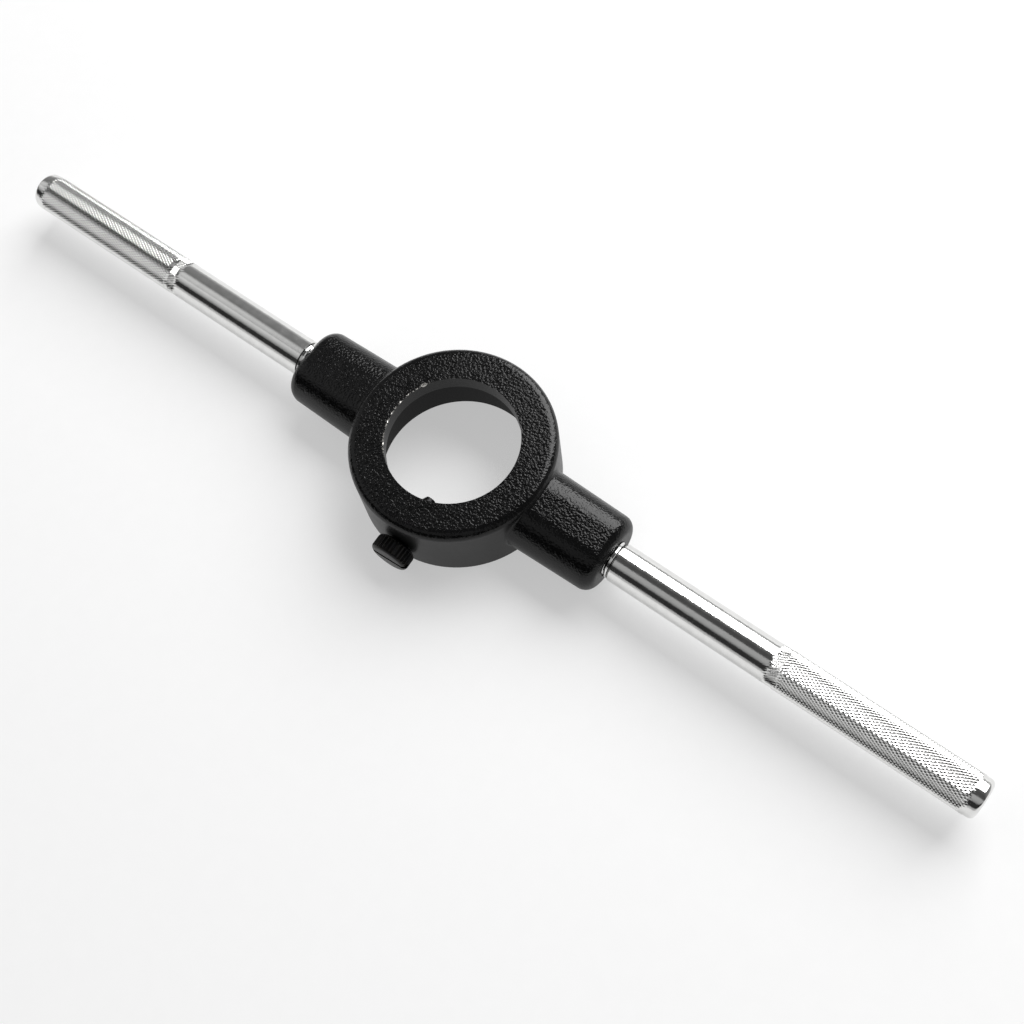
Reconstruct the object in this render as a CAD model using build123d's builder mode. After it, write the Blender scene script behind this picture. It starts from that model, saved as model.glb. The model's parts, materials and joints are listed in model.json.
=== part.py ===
"""Round die stock for 38 mm threading dies: a cast ring with bosses, two handles and a thumb screw.

The origin is where the ring's axis crosses the handles' axis. +Z is the ring's axis and points out of the
shouldered side, the die pocket opens towards -Z, the handles lie along X and the thumb screw stands
almost on -Y.
"""

import os
from math import cos, radians, sin, tan

from build123d import *

# ---- driving dimensions, millimetres ----
die_diameter = 38.0
die_clearance = 0.05  # radial, between the die and its pocket
pocket_depth = 14.0
lip_thickness = 4.0
lip_bore_diameter = 31.5
ring_wall = 5.15
rim_round = 2.0
foot_round = 0.5
mouth_chamfer = 0.4

boss_reach = 44.3  # from the ring's axis to the boss's end
boss_width = 20.4  # at the ring
boss_height = 15.0
boss_corner = 7.3
boss_draft = 1.3  # degrees
boss_end_round = 3.0
boss_root_fillet = 0.8

handle_reach = 136.3  # from the ring's axis to the handle's end
bar_diameter = 9.45
grip_diameter = 9.65
grip_length = 45.5
end_band = 2.3
end_chamfer = 1.2
shoulder_gap = 1.3  # bare thread between the boss and the bar's shoulder
shoulder_chamfer = 0.3
spigot_diameter = 9.0  # its thread is cut on the bar itself
spigot_engagement = 14.0
spigot_chamfer = 0.8
tapped_hole_spare = 2.0
drill_point_angle = 118.0  # degrees, the whole angle

screw_height = -3.0  # of the thumb screw's axis
screw_angle = -87.0  # degrees from +X, seen from above
screw_diameter = 5.0
screw_point_reach = 11.2  # from the ring's axis to the screw's point
screw_point_length = 2.4
screw_point_flat = 2.4  # diameter
head_diameter = 9.65
head_length = 4.1
head_gap = 0.25  # between the ring's wall and the head
head_chamfer = 1.0
slot_width = 1.2
slot_depth = 1.4

thread_clearance = 0.05  # radial, in every tapped hole

# ---- what follows from them ----
ring_height = pocket_depth + lip_thickness
pocket_radius = die_diameter / 2 + die_clearance
lip_bore_radius = lip_bore_diameter / 2
ring_radius = pocket_radius + ring_wall
ring_top = ring_height / 2
ring_foot = -ring_height / 2
shoulder_height = ring_foot + pocket_depth
boss_root = ring_radius - ring_wall / 2  # buried in the ring's wall
spigot_start = boss_reach - spigot_engagement
bar_start = boss_reach + shoulder_gap
grip_start = handle_reach - end_band - grip_length
spigot_hole_radius = spigot_diameter / 2 + thread_clearance
screw_hole_radius = screw_diameter / 2 + thread_clearance
head_start = ring_radius + head_gap
head_end = head_start + head_length
screw_hole_end = head_start
screw_centre = (0, 0, screw_height)
screw_out = (cos(radians(screw_angle)), sin(radians(screw_angle)), 0)
screw_across = (-screw_out[1], screw_out[0], 0)
screw_plane = Plane(origin=screw_centre, x_dir=screw_across, z_dir=screw_out)
screw_profile_plane = Plane(origin=screw_centre, x_dir=screw_out, z_dir=screw_across)
drill_point_depth = spigot_hole_radius / tan(radians(drill_point_angle / 2))
spigot_hole_end = spigot_start - tapped_hole_spare


# ---- boss: a drafted, flattened section with a rounded end ----
with BuildPart() as boss:
    with BuildSketch(Plane.YZ.offset(boss_root)):
        RectangleRounded(boss_width, boss_height, boss_corner)
    extrude(amount=boss_reach - boss_root, taper=boss_draft)
    fillet(boss.faces().sort_by(Axis.X)[-1].edges(), boss_end_round)

# ---- body: ring with its lip and die pocket, two bosses, the three tapped holes ----
with BuildPart() as body:
    with BuildSketch(Plane.XY.offset(ring_foot)):
        Circle(ring_radius)
    extrude(amount=ring_height)
    fillet(body.edges().filter_by(GeomType.CIRCLE).sort_by(Axis.Z)[-1], rim_round)
    fillet(body.edges().filter_by(GeomType.CIRCLE).sort_by(Axis.Z)[0], foot_round)
    add(boss.part)
    add(mirror(boss.part, about=Plane.YZ))
    wall_edges = body.faces().filter_by(GeomType.CYLINDER).sort_by(SortBy.AREA)[-1].edges()
    fillet(wall_edges.filter_by(GeomType.CIRCLE, reverse=True), boss_root_fillet)
    with BuildSketch(Plane.XY.offset(ring_foot)):
        Circle(pocket_radius)
    extrude(amount=pocket_depth, mode=Mode.SUBTRACT)
    with BuildSketch(Plane.XY.offset(shoulder_height)):
        Circle(lip_bore_radius)
    extrude(amount=lip_thickness, mode=Mode.SUBTRACT)
    mouth_edges = body.edges().filter_by(GeomType.CIRCLE).group_by(Axis.Z)[0].sort_by(SortBy.RADIUS)
    chamfer(mouth_edges[0], mouth_chamfer)
    with BuildSketch(Plane.XY):
        with BuildLine():
            Polyline(
                (boss_reach, 0),
                (boss_reach, spigot_hole_radius),
                (spigot_hole_end, spigot_hole_radius),
                (spigot_hole_end - drill_point_depth, 0),
                (boss_reach, 0),
            )
        make_face()
        mirror(about=Plane.YZ)
    revolve(axis=Axis.X, mode=Mode.SUBTRACT)
    with BuildSketch(screw_plane):
        Circle(screw_hole_radius)
    extrude(amount=screw_hole_end, mode=Mode.SUBTRACT)
body.part.label = "stock_body"

# ---- handle: plated bar with a threaded spigot, a plain shank and a grip ----
with BuildPart() as right_handle:
    with BuildSketch(Plane.XY):
        with BuildLine():
            Polyline(
                (spigot_start, 0),
                (spigot_start, spigot_diameter / 2 - spigot_chamfer),
                (spigot_start + spigot_chamfer, spigot_diameter / 2),
                (bar_start, spigot_diameter / 2),
                (bar_start, bar_diameter / 2 - shoulder_chamfer),
                (bar_start + shoulder_chamfer, bar_diameter / 2),
                (grip_start, bar_diameter / 2),
                (grip_start, grip_diameter / 2),
                (grip_start + grip_length, grip_diameter / 2),
                (grip_start + grip_length, bar_diameter / 2),
                (handle_reach - end_chamfer, bar_diameter / 2),
                (handle_reach, bar_diameter / 2 - end_chamfer),
                (handle_reach, 0),
                (spigot_start, 0),
            )
        make_face()
    revolve(axis=Axis.X)
right_handle.part.label = "right_handle"

with BuildPart() as left_handle:
    add(mirror(right_handle.part, about=Plane.YZ))
left_handle.part.label = "left_handle"

# ---- thumb screw: slotted head, shank, blunt cone point ----
with BuildPart() as thumb_screw:
    with BuildSketch(screw_profile_plane):
        with BuildLine():
            Polyline(
                (screw_point_reach, 0),
                (screw_point_reach, screw_point_flat / 2),
                (screw_point_reach + screw_point_length, screw_diameter / 2),
                (head_start, screw_diameter / 2),
                (head_start, head_diameter / 2 - head_chamfer),
                (head_start + head_chamfer, head_diameter / 2),
                (head_end - head_chamfer, head_diameter / 2),
                (head_end, head_diameter / 2 - head_chamfer),
                (head_end, 0),
                (screw_point_reach, 0),
            )
        make_face()
    revolve(axis=Axis(screw_centre, screw_out))
    with BuildSketch(screw_plane.offset(head_end)):
        Rectangle(head_diameter, slot_width)
    extrude(amount=-slot_depth, mode=Mode.SUBTRACT)
thumb_screw.part.label = "thumb_screw"

os.makedirs("parts", exist_ok=True)
export_step(body.part, "parts/stock_body.step")
export_step(left_handle.part, "parts/left_handle.step")
export_step(right_handle.part, "parts/right_handle.step")
export_step(thumb_screw.part, "parts/thumb_screw.step")
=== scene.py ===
"""Round die stock: black enamelled casting, two plated knurled handles and a slotted thumb screw.

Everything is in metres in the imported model's own frame: the ring's axis is Z, the handles lie along X and the
thumb screw stands towards -Y. Knurls and threads are cut by one Geometry Nodes tree.
"""

import json
from math import atan2, cos, pi, radians, sin

import bmesh
import bpy
from bpy.props import FloatProperty, FloatVectorProperty, IntProperty, PointerProperty
from mathutils import Matrix, Vector


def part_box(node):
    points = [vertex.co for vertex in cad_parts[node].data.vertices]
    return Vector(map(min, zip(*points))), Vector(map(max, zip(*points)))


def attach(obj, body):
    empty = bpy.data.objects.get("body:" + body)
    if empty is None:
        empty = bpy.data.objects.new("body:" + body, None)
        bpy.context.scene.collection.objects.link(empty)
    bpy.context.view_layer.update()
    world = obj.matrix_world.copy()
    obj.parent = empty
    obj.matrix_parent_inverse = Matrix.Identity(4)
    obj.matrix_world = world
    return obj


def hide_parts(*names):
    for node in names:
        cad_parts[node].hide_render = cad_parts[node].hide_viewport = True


bl_info = {
    "name": "Round Die Stock",
    "version": (1, 0, 0),
    "blender": (4, 5, 0),
    "location": "3D View > Sidebar > Die Stock",
    "description": "Finishes the casting of a round die stock and makes its knurled handles and thumb screw",
    "category": "Object",
}

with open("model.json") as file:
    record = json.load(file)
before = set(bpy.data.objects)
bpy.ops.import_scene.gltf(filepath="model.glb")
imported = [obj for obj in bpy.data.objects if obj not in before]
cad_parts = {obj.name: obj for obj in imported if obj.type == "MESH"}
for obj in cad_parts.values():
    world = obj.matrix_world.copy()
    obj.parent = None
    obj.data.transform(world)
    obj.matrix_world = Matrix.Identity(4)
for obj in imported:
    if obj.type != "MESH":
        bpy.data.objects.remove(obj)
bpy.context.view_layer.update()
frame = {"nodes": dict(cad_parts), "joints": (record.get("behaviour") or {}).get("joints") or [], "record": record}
RECORD = frame["record"]
MOUNTS = {mount["name"]: mount for mount in RECORD["mounts"]}
JOINTS = {joint["name"]: joint for joint in frame["joints"]}

MM = 0.001

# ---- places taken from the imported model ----
BODY_LOW, BODY_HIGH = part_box("stock_body")
HANDLE_LOW, HANDLE_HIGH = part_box("right_handle")
SCREW_LOW, SCREW_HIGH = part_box("thumb_screw")
BOSS_END = BODY_HIGH.x
RING_RADIUS = BODY_HIGH.y
RING_TOP = BODY_HIGH.z
FLOOR_GAP = 0.05 * MM  # keeps the ring's foot off the floor's own plane
FLOOR_LEVEL = BODY_LOW.z - FLOOR_GAP
LIP_RADIUS = MOUNTS["work_bore"]["dims"]["r_mm"] * MM
LIP_THICKNESS = MOUNTS["work_bore"]["dims"]["length_mm"] * MM
POCKET_RADIUS = MOUNTS["die_pocket"]["dims"]["r_mm"] * MM
GRIP_RADIUS = HANDLE_HIGH.y
GRIP_LENGTH = MOUNTS["right_grip"]["dims"]["length_mm"] * MM
GRIP_START = MOUNTS["right_grip"]["pos_m"][0] - GRIP_LENGTH / 2
GRIP_END = MOUNTS["right_grip"]["pos_m"][0] + GRIP_LENGTH / 2
SCREW_HEIGHT = (SCREW_LOW.z + SCREW_HIGH.z) / 2
HEAD_RADIUS = (SCREW_HIGH.z - SCREW_LOW.z) / 2
SCREW_OUT = Vector(JOINTS["thumb_screw_travel"]["axis"])

# ---- how finely the turned pieces are divided ----
GRIP_STEPS = 4  # divisions of each knurl line, round the bar and along it
THREAD_STEPS = 8  # divisions of each turn of thread, along the bar
ARC_STEPS = 5
PLAIN_STEP = 12 * MM  # along the plain part of a bar
HEAD_STEP = 0.3 * MM  # along the thumb screw's head
SMOOTH_BELOW = radians(28)

# ---- threads and knurls ----
CUT_TREE = "Cut Knurl and Thread"
THREAD_SHARE = 0.6  # depth of a thread against its pitch
SCREW_RUN_OUT = 0.3 * MM  # over which the thumb screw's thread and ridges fade out
SHOULDER_RUN_OUT = 1.6 * MM  # over which the handles' thread fades out
KNURL_RUN_OUT = 1.6 * MM
RIDGE_MARGIN = 0.4  # how much of the head's rounding the ridges leave bare

# ---- wear of the enamel, and a painted highlight along the bore's edge ----
HIGHLIGHT_HEADING = radians(188)  # from +X, the middle of the painted highlight line along the bore's edge
CHIP_PLACE = Vector((-13.9 * MM, 7.4 * MM, RING_TOP))
CHIP_RAGGEDNESS = 0.9 * MM

# ---- roughness of the enamel ----
TOP_ROUGHNESS = 0.08
WALL_ROUGHNESS = 0.34
POCKET_ROUGHNESS = 0.62

# ---- brightness of the sky from the far horizon over the top to the near one ----
SKY_BANDS = (
    (0.00, 0.55), (0.06, 0.45), (0.10, 0.25), (0.33, 0.20), (0.42, 0.11), (0.47, 0.07), (0.57, 0.08),
    (0.60, 0.42), (0.70, 0.40), (0.76, 0.25), (0.785, 0.03), (0.925, 0.03), (0.945, 0.45), (1.00, 0.57),
)
CEILING_LEVEL = 0.6  # of the pale ceiling over the left


class DieStockFinish(bpy.types.PropertyGroup):
    """Colours and wear of the three finishes"""

    enamel: FloatVectorProperty(
        name="Enamel", description="Black stove enamel on the casting", subtype="COLOR_GAMMA",
        size=3, min=0, max=1, default=(0.038, 0.038, 0.040),
    )
    plating: FloatVectorProperty(
        name="Plating", description="Bright plating on the handles", subtype="COLOR_GAMMA",
        size=3, min=0, max=1, default=(0.90, 0.90, 0.895),
    )
    oxide: FloatVectorProperty(
        name="Black oxide", description="Chemical black on the thumb screw", subtype="COLOR_GAMMA",
        size=3, min=0, max=1, default=(0.15, 0.15, 0.155),
    )
    # bright bare iron: the real chip, and also the painted highlight line along the bore's edge
    bare_iron_and_highlight: FloatVectorProperty(
        name="Bare iron", description="Metal that shows where the enamel has chipped", subtype="COLOR_GAMMA",
        size=3, min=0, max=1, default=(0.86, 0.85, 0.83),
    )
    peel_size: FloatProperty(
        name="Texture size", description="Width of one bump in the textured enamel",
        unit="LENGTH", subtype="DISTANCE", min=0.1 * MM, max=3 * MM, default=0.55 * MM, precision=5,
    )
    peel_height: FloatProperty(
        name="Texture height", description="Height of the bumps in the textured enamel",
        unit="LENGTH", subtype="DISTANCE", min=0, max=0.3 * MM, default=0.05 * MM, precision=5,
    )


class DieStockHandles(bpy.types.PropertyGroup):
    """Sizes of a handle bar that its solid doesn't give"""

    bar_diameter: FloatProperty(
        name="Bar diameter", description="Plain part of the bar", unit="LENGTH",
        default=9.45 * MM, precision=5,
    )
    spigot_diameter: FloatProperty(
        name="Thread diameter", description="Thread that screws into the boss", unit="LENGTH",
        default=9 * MM, precision=5,
    )
    shoulder_gap: FloatProperty(
        name="Shoulder gap", description="Bare thread between the boss and the bar", unit="LENGTH",
        default=1.3 * MM, precision=5,
    )
    thread_pitch: FloatProperty(
        name="Thread pitch", description="Travel of one turn", unit="LENGTH",
        default=1.25 * MM, precision=5,
    )
    knurl_lines: IntProperty(
        name="Knurl lines", description="Diamonds counted round the grip", min=12, max=80, default=42,
    )
    knurl_pitch: FloatProperty(
        name="Knurl pitch", description="Length of one diamond along the grip", unit="LENGTH",
        default=1.3 * MM, precision=5,
    )
    knurl_depth: FloatProperty(
        name="Knurl depth", description="Depth of the knurl's grooves", unit="LENGTH",
        default=0.2 * MM, precision=5,
    )
    knurl_bias: FloatProperty(
        name="Knurl bias", description="Depth of the left-hand grooves against the right-hand ones",
        min=0, max=1, default=0.7,
    )
    knurl_lead: FloatProperty(
        name="Knurl lead", description="How far inside the grip the right-hand grooves begin",
        unit="LENGTH", default=3.25 * MM, precision=5,
    )
    end_round: FloatProperty(
        name="End rounding", description="Rounding of the bar's outer end", unit="LENGTH",
        default=1.2 * MM, precision=5,
    )
    shoulder_chamfer: FloatProperty(
        name="Shoulder chamfer", description="Chamfer of the bar's inner end", unit="LENGTH",
        default=0.3 * MM, precision=5,
    )


class DieStockThumbScrew(bpy.types.PropertyGroup):
    """Sizes of the thumb screw that its solid doesn't give"""

    point_reach: FloatProperty(
        name="Point reach", description="From the ring's axis to the screw's point", unit="LENGTH",
        default=11.2 * MM, precision=5,
    )
    point_length: FloatProperty(
        name="Point length", description="Length of the blunt cone", unit="LENGTH",
        default=2.4 * MM, precision=5,
    )
    point_flat: FloatProperty(
        name="Point flat", description="Diameter of the point's flat end", unit="LENGTH",
        default=2.4 * MM, precision=5,
    )
    thread_diameter: FloatProperty(
        name="Thread diameter", description="Outer diameter of the thread", unit="LENGTH",
        default=5 * MM, precision=5,
    )
    thread_pitch: FloatProperty(
        name="Thread pitch", description="Travel of one turn", unit="LENGTH",
        default=0.8 * MM, precision=5,
    )
    head_gap: FloatProperty(
        name="Head gap", description="Between the ring's wall and the head", unit="LENGTH",
        default=0.25 * MM, precision=5,
    )
    head_length: FloatProperty(
        name="Head length", description="Length of the knurled head", unit="LENGTH",
        default=4.1 * MM, precision=5,
    )
    head_round: FloatProperty(
        name="Head rounding", description="Rounding of the head's two edges", unit="LENGTH",
        default=1.0 * MM, precision=5,
    )
    head_lines: IntProperty(
        name="Head ridges", description="Straight ridges round the head", min=12, max=80, default=30,
    )
    ridge_depth: FloatProperty(
        name="Ridge depth", description="Depth of the grooves between the ridges", unit="LENGTH",
        default=0.28 * MM, precision=5,
    )
    slot_width: FloatProperty(
        name="Slot width", description="Width of the screwdriver slot", unit="LENGTH",
        default=1.2 * MM, precision=5,
    )
    slot_depth: FloatProperty(
        name="Slot depth", description="Depth of the screwdriver slot", unit="LENGTH",
        default=1.4 * MM, precision=5,
    )


class DieStockStudio(bpy.types.PropertyGroup):
    """Camera, floor and lights"""

    azimuth: FloatProperty(
        name="Azimuth", description="Direction of the camera, from +X", subtype="ANGLE", unit="ROTATION",
        default=radians(-41.695),
    )
    elevation: FloatProperty(
        name="Elevation", description="Height of the camera above the horizon", subtype="ANGLE",
        unit="ROTATION", default=radians(66.304),
    )
    roll: FloatProperty(
        name="Roll", description="Turn of the camera about its own line of sight", subtype="ANGLE",
        unit="ROTATION", default=radians(12.441),
    )
    distance: FloatProperty(
        name="Distance", description="From the camera to the point it looks at", unit="LENGTH",
        default=316.39 * MM,
    )
    look_at: FloatVectorProperty(
        name="Look at", description="Point in the middle of the picture", subtype="XYZ", unit="LENGTH",
        default=(18.91 * MM, -3.80 * MM, 0),
    )
    focal_length: FloatProperty(
        name="Focal length", description="Lens of the camera, in millimetres", min=10, max=200, default=48.93,
    )
    floor_size: FloatProperty(
        name="Floor size", description="Side of the square floor", unit="LENGTH", default=6.0,
    )
    softbox_azimuth: FloatProperty(
        name="Softbox azimuth", description="Direction of the light, from +X", subtype="ANGLE",
        unit="ROTATION", default=radians(88),
    )
    softbox_elevation: FloatProperty(
        name="Softbox elevation", description="Height of the light above the horizon", subtype="ANGLE",
        unit="ROTATION", default=radians(42),
    )
    softbox_size: FloatProperty(
        name="Softbox size", description="Side of the square light, one metre away", unit="LENGTH",
        default=0.88,
    )
    softbox_power: FloatProperty(
        name="Softbox power", description="Power of the light, in watts", min=0, default=16.0,
    )


def heading(azimuth, elevation=0.0):
    """The unit vector that points azimuth round from +X and elevation up from the horizon."""
    flat = cos(elevation)
    return Vector((flat * cos(azimuth), flat * sin(azimuth), sin(elevation)))


# ---- shader building ----
def linear(channel):
    """One channel of an sRGB colour as linear light."""
    return channel / 12.92 if channel <= 0.04045 else ((channel + 0.055) / 1.055) ** 2.4


def paint(colour):
    """An sRGB colour, as a hex string or as three channels, as a linear colour with alpha."""
    if isinstance(colour, str):
        colour = [int(colour[i : i + 2], 16) / 255 for i in (1, 3, 5)]
    return (*(linear(channel) for channel in colour), 1.0)


def fill(tree, node, inputs):
    """Fills a node's inputs with values or with other nodes' outputs."""
    for name, value in inputs.items():
        socket = node.inputs[name]
        if isinstance(value, bpy.types.NodeSocket):
            tree.links.new(value, socket)
        else:
            socket.default_value = value


def add_node(tree, kind, settings=None, inputs=None):
    """Adds a node, sets its properties and fills its inputs."""
    node = tree.nodes.new(kind)
    for name, value in (settings or {}).items():
        setattr(node, name, value)
    fill(tree, node, inputs or {})
    return node


def new_material(name):
    """A material with an empty tree and its Principled shader linked to the output."""
    material = bpy.data.materials.new(name)
    material.use_nodes = True
    tree = material.node_tree
    tree.nodes.clear()
    shader = add_node(tree, "ShaderNodeBsdfPrincipled")
    add_node(tree, "ShaderNodeOutputMaterial", inputs={"Surface": shader.outputs["BSDF"]})
    return material, tree, shader


def fine_noise(tree, place, size, detail=2.0, roughness=0.5, stretch=(1, 1, 1)):
    """Noise whose features are about size metres wide, longer where stretch is over 1."""
    scale = tuple(1 / (size * factor) for factor in stretch)
    mapping = add_node(tree, "ShaderNodeMapping", inputs={"Vector": place, "Scale": scale})
    noise = add_node(
        tree, "ShaderNodeTexNoise", {"noise_dimensions": "3D"},
        {"Vector": mapping.outputs["Vector"], "Scale": 1.0, "Detail": detail, "Roughness": roughness},
    )
    return noise.outputs["Fac"]


def ramp(tree, value, low, high, start=0.0, end=1.0):
    """Maps value from low..high to start..end with soft ends."""
    node = add_node(
        tree, "ShaderNodeMapRange", {"interpolation_type": "SMOOTHSTEP", "clamp": True},
        {"Value": value, "From Min": low, "From Max": high, "To Min": start, "To Max": end},
    )
    return node.outputs["Result"]


def combine(tree, operation, a, b=0.0, c=0.0):
    """A Math node on two values, or on three for MULTIPLY_ADD."""
    return add_node(tree, "ShaderNodeMath", {"operation": operation}, {0: a, 1: b, 2: c}).outputs["Value"]


def tint(tree, colour, shade):
    """A colour multiplied by a shade between nodes."""
    return add_node(
        tree, "ShaderNodeMix", {"data_type": "RGBA", "blend_type": "MULTIPLY"},
        {"Factor": 1.0, "A": paint(colour), "B": shade},
    ).outputs["Result"]


def enamel_material(finish):
    """Textured stove enamel on cast iron: sprayed thick on the upper faces, where it cures with a fine hard
    orange peel that throws back small sparks of light, and thinner and smoother down the sides, which look
    satin. It is a near-black film, IOR 1.5, whose fine pores swallow about half of the gloss. Along one side
    of the bore's upper edge a broken line of bright bare iron is painted in as a highlight, and one larger
    chip shows real bare iron."""
    material, tree, shader = new_material("textured black enamel")
    place = add_node(tree, "ShaderNodeTexCoord")
    point = place.outputs["Object"]
    up = add_node(tree, "ShaderNodeSeparateXYZ", inputs={0: place.outputs["Normal"]}).outputs["Z"]
    xyz = add_node(tree, "ShaderNodeSeparateXYZ", inputs={0: point})
    upward = ramp(tree, up, 0.25, 0.75)

    peel = fine_noise(tree, point, finish.peel_size, detail=1.5)
    grit = fine_noise(tree, point, 0.4 * finish.peel_size, detail=1.0)
    swell = fine_noise(tree, point, 6 * finish.peel_size, detail=2.0)
    bumps = combine(tree, "MULTIPLY_ADD", grit, 0.12, ramp(tree, peel, 0.25, 0.80))
    amount = combine(tree, "MULTIPLY_ADD", upward, 0.93, 0.07)
    bump = add_node(
        tree, "ShaderNodeBump", inputs={"Height": bumps, "Distance": finish.peel_height, "Strength": amount},
    )

    # painted highlight: a broken line of bright bare iron along one side of the bore's upper edge, where the light
    # catches it; and one larger chip of real wear
    flat = add_node(tree, "ShaderNodeCombineXYZ", inputs={"X": xyz.outputs["X"], "Y": xyz.outputs["Y"]})
    length = add_node(tree, "ShaderNodeVectorMath", {"operation": "LENGTH"}, {0: flat.outputs[0]})
    radius = length.outputs["Value"]
    near_edge = ramp(tree, radius, LIP_RADIUS + 0.05 * MM, LIP_RADIUS + 0.30 * MM, 1, 0)
    near_top = ramp(tree, xyz.outputs["Z"], RING_TOP - 0.30 * MM, RING_TOP - 0.1 * MM)
    side = add_node(
        tree, "ShaderNodeVectorMath", {"operation": "DOT_PRODUCT"},
        {0: point, 1: heading(HIGHLIGHT_HEADING) / LIP_RADIUS},
    ).outputs["Value"]
    highlight_side = ramp(tree, side, 0.72, 0.9)
    broken = ramp(tree, fine_noise(tree, point, 0.7 * MM, detail=3.0, roughness=0.7), 0.48, 0.54)
    edge = combine(tree, "MULTIPLY", near_edge, near_top)
    # the painted highlight line, drawn as bare iron on the side of the bore's edge that faces the light
    line = combine(tree, "MULTIPLY", edge, combine(tree, "MULTIPLY", highlight_side, broken))
    chip_distance = add_node(
        tree, "ShaderNodeVectorMath", {"operation": "DISTANCE"}, {0: point, 1: CHIP_PLACE},
    ).outputs["Value"]
    torn = fine_noise(tree, point, 0.8 * MM, detail=3.0)
    ragged = combine(tree, "MULTIPLY_ADD", torn, -CHIP_RAGGEDNESS, chip_distance)
    chip = ramp(tree, ragged, 0.0, 0.25 * MM, 1, 0)
    # bare-iron mask: the painted highlight line together with the real chip
    wear_and_highlight = combine(tree, "MAXIMUM", line, chip)

    tone = tint(tree, finish.enamel, ramp(tree, swell, 0.3, 0.7, 0.8, 1.25))
    colour = add_node(
        tree, "ShaderNodeMix", {"data_type": "RGBA"},
        {"Factor": wear_and_highlight, "A": tone, "B": paint(finish.bare_iron_and_highlight)},
    )
    gloss = ramp(tree, upward, 0.0, 1.0, WALL_ROUGHNESS, TOP_ROUGHNESS)
    satin = combine(tree, "MULTIPLY_ADD", swell, 0.06, gloss)
    # the die pocket is machined and only blackened, so it is dull
    lip_foot = RING_TOP - LIP_THICKNESS
    below_lip = ramp(tree, xyz.outputs["Z"], lip_foot - 0.1 * MM, lip_foot, 1, 0)
    inside = ramp(tree, radius, POCKET_RADIUS + 0.1 * MM, POCKET_RADIUS + 0.3 * MM, 1, 0)
    in_pocket = combine(tree, "MULTIPLY", below_lip, inside)
    dull = combine(tree, "MULTIPLY", in_pocket, POCKET_ROUGHNESS)
    fill(tree, shader, {
        "Base Color": colour.outputs["Result"],
        "Roughness": combine(tree, "MAXIMUM", satin, dull),
        "Metallic": wear_and_highlight,
        "Normal": bump.outputs["Normal"],
        "IOR": 1.5,
        "Specular IOR Level": 0.26,
    })
    return material


def plating_material(finish):
    """Bright nickel plating on ground mild steel: a mirror that still carries the grinding marks round the
    bar and a faint cloudiness, so that its reflections are banded and slightly grainy."""
    material, tree, shader = new_material("bright plated steel")
    point = add_node(tree, "ShaderNodeTexCoord").outputs["Object"]
    cloud = fine_noise(tree, point, 2.2 * MM, detail=3.0)
    grain = fine_noise(tree, point, 0.28 * MM, detail=1.0)
    marks = fine_noise(tree, point, 0.12 * MM, detail=1.0, stretch=(1, 40, 40))
    height = combine(tree, "MULTIPLY_ADD", marks, 0.5, grain)
    bump = add_node(
        tree, "ShaderNodeBump", inputs={"Height": height, "Distance": 0.010 * MM, "Strength": 1.0},
    )
    fill(tree, shader, {
        "Base Color": tint(tree, finish.plating, ramp(tree, cloud, 0.3, 0.7, 0.93, 1.0)),
        "Roughness": ramp(tree, cloud, 0.3, 0.7, 0.07, 0.13),
        "Normal": bump.outputs["Normal"],
        "Metallic": 1.0,
    })
    return material


def oxide_material(finish):
    """Black oxide on turned steel: a dark grey metal with an oily satin gloss, a little browner and duller in
    patches, with turning marks."""
    material, tree, shader = new_material("black oxide steel")
    point = add_node(tree, "ShaderNodeTexCoord").outputs["Object"]
    patch = fine_noise(tree, point, 1.6 * MM, detail=3.0)
    grain = fine_noise(tree, point, 0.2 * MM, detail=2.0)
    tone = add_node(
        tree, "ShaderNodeMix", {"data_type": "RGBA"},
        {"Factor": ramp(tree, patch, 0.35, 0.7), "A": paint(finish.oxide), "B": paint("#2C2A28")},
    )
    bump = add_node(
        tree, "ShaderNodeBump", inputs={"Height": grain, "Distance": 0.02 * MM, "Strength": 0.6},
    )
    fill(tree, shader, {
        "Base Color": tone.outputs["Result"],
        "Roughness": ramp(tree, grain, 0.3, 0.7, 0.30, 0.42),
        "Normal": bump.outputs["Normal"],
        "Metallic": 1.0,
    })
    return material


def floor_material():
    """White acrylic sheet lit from below: matt, a faint tooth in it, and bright enough by itself that shadows
    stay pale."""
    material, tree, shader = new_material("lit white acrylic")
    point = add_node(tree, "ShaderNodeTexCoord").outputs["Object"]
    tooth = fine_noise(tree, point, 4 * MM, detail=2.0)
    tone = add_node(
        tree, "ShaderNodeMix", {"data_type": "RGBA"},
        {"Factor": tooth, "A": paint("#B6B6B6"), "B": paint("#B9B9B9")},
    )
    fill(tree, shader, {
        "Base Color": tone.outputs["Result"],
        "Roughness": 0.9,
        "Specular IOR Level": 0.0,
        "Emission Color": (1, 1, 1, 1),
        "Emission Strength": 0.46,
    })
    return material


# ---- the tree that cuts knurls and threads ----
CUT_INPUTS = (
    ("Material", "NodeSocketMaterial"),
    ("Knurl Start", "NodeSocketFloat"),
    ("Knurl End", "NodeSocketFloat"),
    ("Knurl Lines", "NodeSocketFloat"),
    ("Knurl Twist", "NodeSocketFloat"),
    ("Knurl Depth", "NodeSocketFloat"),
    ("Left Depth", "NodeSocketFloat"),
    ("Left Start", "NodeSocketFloat"),
    ("Knurl Run Out", "NodeSocketFloat"),
    ("Thread Start", "NodeSocketFloat"),
    ("Thread End", "NodeSocketFloat"),
    ("Thread Pitch", "NodeSocketFloat"),
    ("Thread Depth", "NodeSocketFloat"),
    ("Thread Run Out", "NodeSocketFloat"),
)


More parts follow.
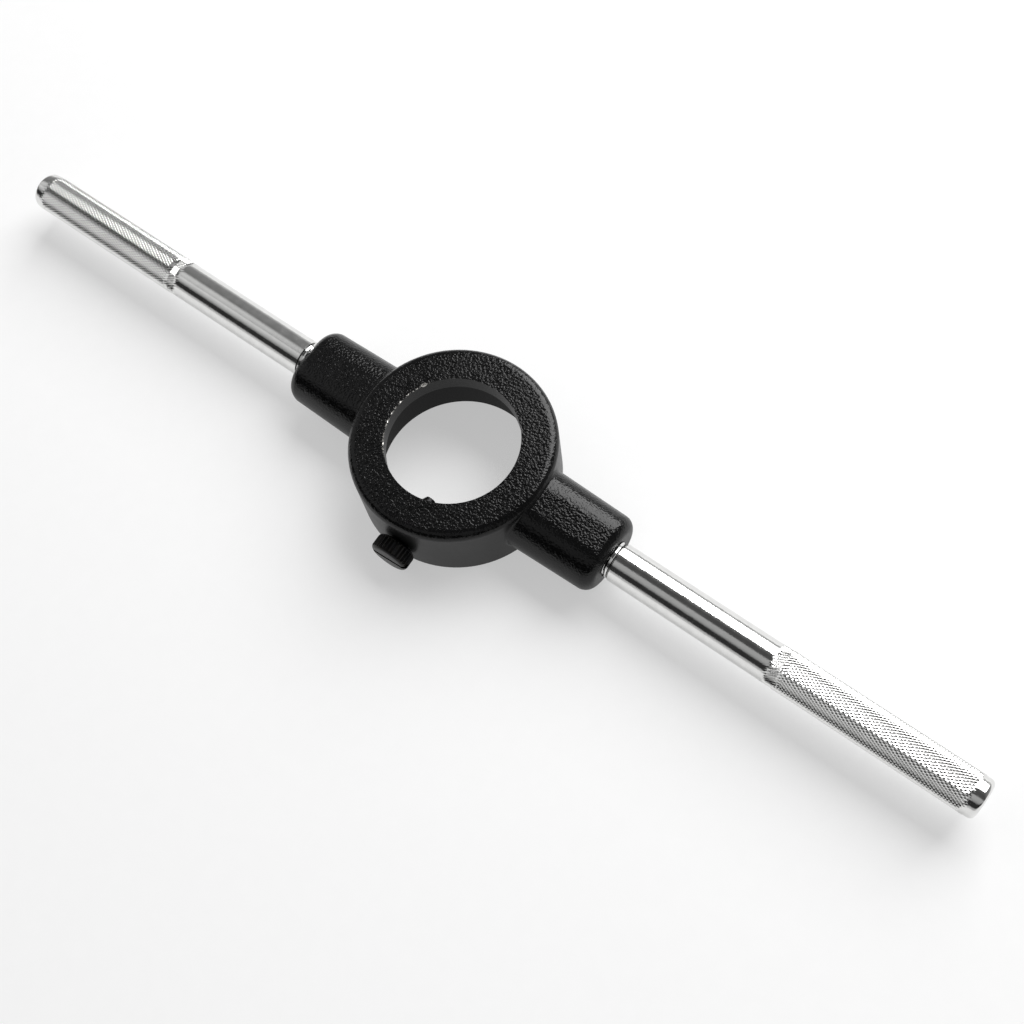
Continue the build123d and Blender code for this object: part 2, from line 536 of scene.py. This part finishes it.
def cutting_tree():
    """The tree that cuts a knurl and a thread into a bar that was turned along X. Knurl Twist is the number
    of diamonds per metre along the bar, and 0 gives straight ridges."""
    if CUT_TREE in bpy.data.node_groups:
        return bpy.data.node_groups[CUT_TREE]
    tree = bpy.data.node_groups.new(CUT_TREE, "GeometryNodeTree")
    tree.interface.new_socket("Geometry", in_out="INPUT", socket_type="NodeSocketGeometry")
    for name, kind in CUT_INPUTS:
        tree.interface.new_socket(name, in_out="INPUT", socket_type=kind)
    tree.interface.new_socket("Geometry", in_out="OUTPUT", socket_type="NodeSocketGeometry")
    given = add_node(tree, "NodeGroupInput").outputs

    position = add_node(tree, "GeometryNodeInputPosition").outputs[0]
    xyz = add_node(tree, "ShaderNodeSeparateXYZ", inputs={0: position}).outputs
    angle = combine(tree, "ARCTAN2", xyz["Z"], xyz["Y"])
    turn = combine(tree, "DIVIDE", angle, 2 * pi)

    def groove(count):
        """0 in the middle of a groove and 1 on a crest, for a value that grows by 1 from groove to groove."""
        return combine(tree, "PINGPONG", combine(tree, "MULTIPLY", count, 2.0), 1.0)

    def between(start, end, run_out):
        """1 from start to end along the bar, fading out over the run-out inside each end."""
        def rise(distance):
            share = combine(tree, "DIVIDE", distance, run_out)
            return add_node(tree, "ShaderNodeClamp", inputs={"Value": share}).outputs["Result"]

        before = rise(combine(tree, "SUBTRACT", xyz["X"], start))
        after = rise(combine(tree, "SUBTRACT", end, xyz["X"]))
        return combine(tree, "MULTIPLY", before, after)

    def cut(crests, depth, mask):
        """How far a point moves outwards: -depth in a groove and 0 on a crest."""
        below = combine(tree, "SUBTRACT", crests, 1.0)
        return combine(tree, "MULTIPLY", combine(tree, "MULTIPLY", below, depth), mask)

    around = combine(tree, "MULTIPLY", turn, given["Knurl Lines"])
    inside = combine(tree, "SUBTRACT", xyz["X"], given["Knurl Start"])
    along = combine(tree, "MULTIPLY", inside, given["Knurl Twist"])
    run_out = given["Knurl Run Out"]
    right_cut = cut(
        groove(combine(tree, "ADD", around, along)), given["Knurl Depth"],
        between(given["Knurl Start"], given["Knurl End"], run_out),
    )
    left_cut = cut(
        groove(combine(tree, "SUBTRACT", around, along)), given["Left Depth"],
        between(given["Left Start"], given["Knurl End"], run_out),
    )
    knurl_cut = combine(tree, "MINIMUM", right_cut, left_cut)

    turns = combine(tree, "SUBTRACT", combine(tree, "DIVIDE", xyz["X"], given["Thread Pitch"]), turn)
    thread_cut = cut(
        groove(turns), given["Thread Depth"],
        between(given["Thread Start"], given["Thread End"], given["Thread Run Out"]),
    )
    depth = combine(tree, "ADD", knurl_cut, thread_cut)
    spoke = add_node(tree, "ShaderNodeCombineXYZ", inputs={"Y": xyz["Y"], "Z": xyz["Z"]}).outputs[0]
    outward = add_node(tree, "ShaderNodeVectorMath", {"operation": "NORMALIZE"}, {0: spoke}).outputs["Vector"]
    move = add_node(
        tree, "ShaderNodeVectorMath", {"operation": "SCALE"}, {0: outward, "Scale": depth},
    ).outputs["Vector"]
    moved = add_node(tree, "GeometryNodeSetPosition", inputs={"Geometry": given["Geometry"], "Offset": move})
    real = add_node(tree, "GeometryNodeRealizeInstances", inputs={0: moved.outputs[0]})
    finished = add_node(
        tree, "GeometryNodeSetMaterial", inputs={"Geometry": real.outputs[0], "Material": given["Material"]},
    )
    add_node(tree, "NodeGroupOutput", inputs={0: finished.outputs[0]})
    return tree


# ---- turned pieces ----
def spread(start, end, step):
    """Even places from start to end, no further apart than step, without the first."""
    count = max(1, round((end - start) / step))
    return [start + (end - start) * i / count for i in range(1, count + 1)]


def turned_bar(name, profile, sides):
    """A closed bar turned about X from (x, radius) points that run from one end to the other. The diagonals
    of its faces alternate, so that they can follow the grooves of a knurl both ways."""
    shape = bmesh.new()
    rings = []
    for x, radius in profile:
        rings.append([
            shape.verts.new((x, radius * cos(2 * pi * i / sides), radius * sin(2 * pi * i / sides)))
            for i in range(sides)
        ])
    for row, (inner, outer) in enumerate(zip(rings, rings[1:])):
        for i in range(sides):
            j = (i + 1) % sides
            if (row + i) % 2:
                shape.faces.new((inner[i], outer[i], inner[j]))
                shape.faces.new((outer[i], outer[j], inner[j]))
            else:
                shape.faces.new((inner[i], outer[i], outer[j]))
                shape.faces.new((inner[i], outer[j], inner[j]))
    for ring, x in ((rings[0], profile[0][0]), (rings[-1], profile[-1][0])):
        middle = shape.verts.new((x, 0, 0))
        for i in range(sides):
            shape.faces.new((ring[i], ring[(i + 1) % sides], middle))
    bmesh.ops.recalc_face_normals(shape, faces=shape.faces)
    mesh = bpy.data.meshes.new(name)
    shape.to_mesh(mesh)
    shape.free()
    bar = bpy.data.objects.new(name, mesh)
    bpy.context.scene.collection.objects.link(bar)
    return bar


def cut_bar(bar, tree, values, cutter=None):
    """Runs the cutting tree, and a boolean with any cutter, and keeps the result as a mesh."""
    modifier = bar.modifiers.new("Cut", "NODES")
    modifier.node_group = tree
    sockets = {s.name: s.identifier for s in tree.interface.items_tree if s.in_out == "INPUT"}
    for name, value in values.items():
        modifier[sockets[name]] = value
    if cutter is not None:
        slot = bar.modifiers.new("Slot", "BOOLEAN")
        slot.operation = "DIFFERENCE"
        slot.solver = "EXACT"
        slot.object = cutter
    graph = bpy.context.evaluated_depsgraph_get()
    mesh = bpy.data.meshes.new_from_object(bar.evaluated_get(graph))
    old = bar.data
    bar.modifiers.clear()
    bar.data = mesh
    bpy.data.meshes.remove(old)
    mesh.name = bar.name
    if not mesh.polygons:
        raise RuntimeError(f"{bar.name} came out empty")
    mesh.materials.clear()
    mesh.materials.append(values["Material"])
    mesh.polygons.foreach_set("material_index", [0] * len(mesh.polygons))
    mesh.shade_smooth()
    mesh.set_sharp_from_angle(angle=SMOOTH_BELOW)
    return bar


def end_corner(x, radius, rounding):
    """Points of a rounded edge that turns from the bar's side into its end at x."""
    turns = [pi / 2 * i / ARC_STEPS for i in range(ARC_STEPS + 1)]
    return [(x - rounding * (1 - sin(turn)), radius - rounding * (1 - cos(turn))) for turn in turns]


def start_corner(x, radius, rounding):
    """Points of a rounded edge that turns from the end at x into the bar's side."""
    return [(2 * x - px, pr) for px, pr in end_corner(x, radius, rounding)][::-1]


def handle_profile(sizes):
    """Outline of the right handle from its hidden end to its outer end."""
    bar = sizes.bar_diameter / 2
    spigot = sizes.spigot_diameter / 2
    start, end = HANDLE_LOW.x, HANDLE_HIGH.x
    shoulder = BOSS_END + sizes.shoulder_gap
    bar_start = shoulder + sizes.shoulder_chamfer
    knurl_start = GRIP_START - sizes.knurl_lead
    knurl_step = sizes.knurl_pitch / GRIP_STEPS
    lead = sizes.thread_pitch * THREAD_SHARE
    outline = [(start, spigot - lead), (start + lead, spigot)]
    outline += [(x, spigot) for x in spread(start + lead, shoulder, sizes.thread_pitch / THREAD_STEPS)]
    outline += [(shoulder, bar - sizes.shoulder_chamfer), (bar_start, bar)]
    outline += [(x, bar) for x in spread(bar_start, knurl_start, PLAIN_STEP)]
    outline += [(x, bar) for x in spread(knurl_start, GRIP_START, knurl_step)]
    outline += [(GRIP_START, GRIP_RADIUS)]
    outline += [(x, GRIP_RADIUS) for x in spread(GRIP_START, GRIP_END, knurl_step)]
    outline += [(GRIP_END, bar)]
    outline += end_corner(end, bar, sizes.end_round)
    return outline


def build_handles(scene):
    """Both handles, each one piece: threaded spigot, plain bar and diamond-knurled grip."""
    sizes = scene.die_stock_handles
    tree = cutting_tree()
    values = {
        "Material": plating_material(scene.die_stock_finish),
        "Knurl Start": GRIP_START - sizes.knurl_lead,
        "Knurl End": GRIP_END,
        "Knurl Lines": float(sizes.knurl_lines),
        "Knurl Twist": 1 / sizes.knurl_pitch,
        "Knurl Depth": sizes.knurl_depth,
        "Left Depth": sizes.knurl_bias * sizes.knurl_depth,
        "Left Start": GRIP_START,
        "Knurl Run Out": KNURL_RUN_OUT,
        "Thread Start": HANDLE_LOW.x,
        "Thread End": BOSS_END + sizes.shoulder_gap,
        "Thread Pitch": sizes.thread_pitch,
        "Thread Depth": THREAD_SHARE * sizes.thread_pitch,
        "Thread Run Out": SHOULDER_RUN_OUT,
    }
    sides = sizes.knurl_lines * GRIP_STEPS
    for side, turn in (("right", 0.0), ("left", pi)):
        handle = turned_bar(f"{side}_handle_bar", handle_profile(sizes), sides)
        cut_bar(handle, tree, values)
        handle.data.transform(Matrix.Rotation(turn, 4, "Z"))
        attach(handle, f"{side}_bar")
        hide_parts(f"{side}_handle")


def slot_cutter(sizes, head_end):
    """A block that cuts the screwdriver slot across the head."""
    shape = bmesh.new()
    bmesh.ops.create_cube(shape, size=1.0)
    mesh = bpy.data.meshes.new("slot_cutter")
    shape.to_mesh(mesh)
    shape.free()
    size = Vector((2 * sizes.slot_depth, 4 * HEAD_RADIUS, sizes.slot_width))
    mesh.transform(Matrix.Translation((head_end, 0, 0)) @ Matrix.Diagonal((*size, 1)))
    cutter = bpy.data.objects.new("slot_cutter", mesh)
    bpy.context.scene.collection.objects.link(cutter)
    return cutter


def build_thumb_screw(scene):
    """The thumb screw: blunt point, thread, straight-knurled head with a slot."""
    sizes = scene.die_stock_screw
    head_start = RING_RADIUS + sizes.head_gap
    head_end = head_start + sizes.head_length
    shank = sizes.thread_diameter / 2
    point = sizes.point_reach
    cone_end = point + sizes.point_length
    outline = [(point, sizes.point_flat / 2), (cone_end, shank)]
    outline += [(x, shank) for x in spread(cone_end, head_start, sizes.thread_pitch / THREAD_STEPS)]
    outline += start_corner(head_start, HEAD_RADIUS, sizes.head_round)
    flank_start, flank_end = head_start + sizes.head_round, head_end - sizes.head_round
    outline += [(x, HEAD_RADIUS) for x in spread(flank_start, flank_end, HEAD_STEP)][:-1]
    outline += end_corner(head_end, HEAD_RADIUS, sizes.head_round)
    ridge_start = head_start + RIDGE_MARGIN * sizes.head_round
    screw = turned_bar("knurled_thumb_screw", outline, sizes.head_lines * GRIP_STEPS)
    cutter = slot_cutter(sizes, head_end)
    values = {
        "Material": oxide_material(scene.die_stock_finish),
        "Knurl Start": ridge_start,
        "Knurl End": head_end - RIDGE_MARGIN * sizes.head_round,
        "Knurl Lines": float(sizes.head_lines),
        "Knurl Twist": 0.0,
        "Knurl Depth": sizes.ridge_depth,
        "Left Depth": sizes.ridge_depth,
        "Left Start": ridge_start,
        "Knurl Run Out": SCREW_RUN_OUT,
        "Thread Start": point + 0.5 * sizes.point_length,
        "Thread End": head_start,
        "Thread Pitch": sizes.thread_pitch,
        "Thread Depth": THREAD_SHARE * sizes.thread_pitch,
        "Thread Run Out": SCREW_RUN_OUT,
    }
    cut_bar(screw, cutting_tree(), values, cutter)
    cutter_mesh = cutter.data
    bpy.data.objects.remove(cutter)
    bpy.data.meshes.remove(cutter_mesh)
    turn = Matrix.Rotation(atan2(SCREW_OUT.y, SCREW_OUT.x), 4, "Z")
    screw.data.transform(Matrix.Translation((0, 0, SCREW_HEIGHT)) @ turn)
    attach(screw, "clamp_screw")
    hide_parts("thumb_screw")


def finish_casting(scene):
    """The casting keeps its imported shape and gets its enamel."""
    casting = frame["nodes"]["stock_body"]
    casting.data.materials.clear()
    casting.data.materials.append(enamel_material(scene.die_stock_finish))


# ---- studio ----
def add_softbox(place, size, power):
    """A square area light that faces the ring."""
    light = bpy.data.lights.new("softbox", "AREA")
    light.size = size
    light.energy = power
    lamp = bpy.data.objects.new("softbox", light)
    lamp.matrix_world = Matrix.Translation(place) @ place.to_track_quat("Z", "Y").to_matrix().to_4x4()
    bpy.context.scene.collection.objects.link(lamp)


def add_camera(studio):
    """The camera, looking down across the stock."""
    back = heading(studio.azimuth, studio.elevation)
    level_up = (Vector((0, 0, 1)) - back.z * back).normalized()
    level_right = level_up.cross(back)
    up = cos(studio.roll) * level_up + sin(studio.roll) * level_right
    right = up.cross(back)
    data = bpy.data.cameras.new("Camera")
    data.sensor_width = 36
    data.lens = studio.focal_length
    data.clip_start = 0.01
    camera = bpy.data.objects.new("Camera", data)
    turn = Matrix((right, up, back)).transposed().to_4x4()
    camera.matrix_world = Matrix.Translation(Vector(studio.look_at) + studio.distance * back) @ turn
    bpy.context.scene.collection.objects.link(camera)
    bpy.context.scene.camera = camera


def studio_sky():
    """A grey room with a dark gap low on the near side and a pale ceiling over the left, which the plated
    bars mirror."""
    world = bpy.data.worlds.new("studio")
    world.use_nodes = True
    tree = world.node_tree
    tree.nodes.clear()
    direction = add_node(tree, "ShaderNodeTexCoord").outputs["Generated"]
    xyz = add_node(tree, "ShaderNodeSeparateXYZ", inputs={0: direction}).outputs
    # how far round the sky a direction is, about the handles' axis: 0 at the far horizon, 1 at the near one
    sweep = combine(tree, "DIVIDE", combine(tree, "ARCTAN2", xyz["Z"], xyz["Y"]), pi)
    shades = add_node(tree, "ShaderNodeValToRGB", inputs={"Fac": sweep})
    bands = shades.color_ramp
    first, *middle, last = SKY_BANDS
    bands.elements[0].position, bands.elements[1].position = first[0], last[0]
    for place, level in middle:
        bands.elements.new(place)
    for element, (place, level) in zip(bands.elements, SKY_BANDS):
        element.color = (level, level, level, 1)
    over = combine(tree, "MULTIPLY", ramp(tree, sweep, 0.34, 0.46), ramp(tree, sweep, 0.46, 0.78, 1, 0))
    left = ramp(tree, xyz["X"], -0.48, -0.38, 1, 0)
    ceiling = combine(tree, "MULTIPLY", combine(tree, "MULTIPLY", over, left), CEILING_LEVEL)
    total = combine(tree, "ADD", ceiling, shades.outputs["Color"])
    light = add_node(tree, "ShaderNodeBackground", inputs={"Color": total, "Strength": 1.0})
    add_node(tree, "ShaderNodeOutputWorld", inputs={"Surface": light.outputs[0]})
    bpy.context.scene.world = world


def build_studio(scene):
    """Floor, camera, sky and soft lights."""
    studio = scene.die_stock_studio
    half = studio.floor_size / 2
    mesh = bpy.data.meshes.new("studio_floor")
    corners = [(x * half, y * half, FLOOR_LEVEL) for x, y in ((-1, -1), (1, -1), (1, 1), (-1, 1))]
    mesh.from_pydata(corners, [], [(0, 1, 2, 3)])
    mesh.materials.append(floor_material())
    floor = bpy.data.objects.new("studio_floor", mesh)
    scene.collection.objects.link(floor)
    add_camera(studio)
    studio_sky()
    place = heading(studio.softbox_azimuth, studio.softbox_elevation)
    add_softbox(place, studio.softbox_size, studio.softbox_power)
    scene.view_settings.view_transform = "Standard"


# ---- operators ----
class DIESTOCK_OT_casting(bpy.types.Operator):
    """Give the casting its textured black enamel"""

    bl_idname = "diestock.casting"
    bl_label = "Finish Casting"

    def execute(self, context):
        finish_casting(context.scene)
        return {"FINISHED"}


class DIESTOCK_OT_handles(bpy.types.Operator):
    """Make the two plated handles with their knurled grips and threads"""

    bl_idname = "diestock.handles"
    bl_label = "Make Handles"

    def execute(self, context):
        build_handles(context.scene)
        return {"FINISHED"}


class DIESTOCK_OT_thumb_screw(bpy.types.Operator):
    """Make the slotted thumb screw with its straight-knurled head"""

    bl_idname = "diestock.thumb_screw"
    bl_label = "Make Thumb Screw"

    def execute(self, context):
        build_thumb_screw(context.scene)
        return {"FINISHED"}


class DIESTOCK_OT_studio(bpy.types.Operator):
    """Set up the floor, the camera and the soft lights"""

    bl_idname = "diestock.studio"
    bl_label = "Set Up Studio"

    def execute(self, context):
        build_studio(context.scene)
        return {"FINISHED"}


OPERATORS = (DIESTOCK_OT_casting, DIESTOCK_OT_handles, DIESTOCK_OT_thumb_screw, DIESTOCK_OT_studio)
SETTINGS = (
    ("die_stock_finish", DieStockFinish),
    ("die_stock_handles", DieStockHandles),
    ("die_stock_screw", DieStockThumbScrew),
    ("die_stock_studio", DieStockStudio),
)


class DIESTOCK_PT_panel(bpy.types.Panel):
    """Sizes, colours and steps of the die stock"""

    bl_label = "Round Die Stock"
    bl_space_type = "VIEW_3D"
    bl_region_type = "UI"
    bl_category = "Die Stock"

    def draw(self, context):
        for operator in OPERATORS:
            self.layout.operator(operator.bl_idname)
        for name, group in SETTINGS:
            box = self.layout.box()
            for prop in group.__annotations__:
                box.prop(getattr(context.scene, name), prop)


def register():
    for name, group in SETTINGS:
        bpy.utils.register_class(group)
        setattr(bpy.types.Scene, name, PointerProperty(type=group))
    for cls in (*OPERATORS, DIESTOCK_PT_panel):
        bpy.utils.register_class(cls)


def unregister():
    for cls in (DIESTOCK_PT_panel, *reversed(OPERATORS)):
        bpy.utils.unregister_class(cls)
    for name, group in reversed(SETTINGS):
        delattr(bpy.types.Scene, name)
        bpy.utils.unregister_class(group)


def main():
    register()
    bpy.ops.diestock.casting()
    bpy.ops.diestock.handles()
    bpy.ops.diestock.thumb_screw()
    bpy.ops.diestock.studio()


if __name__ == "__main__":
    main()
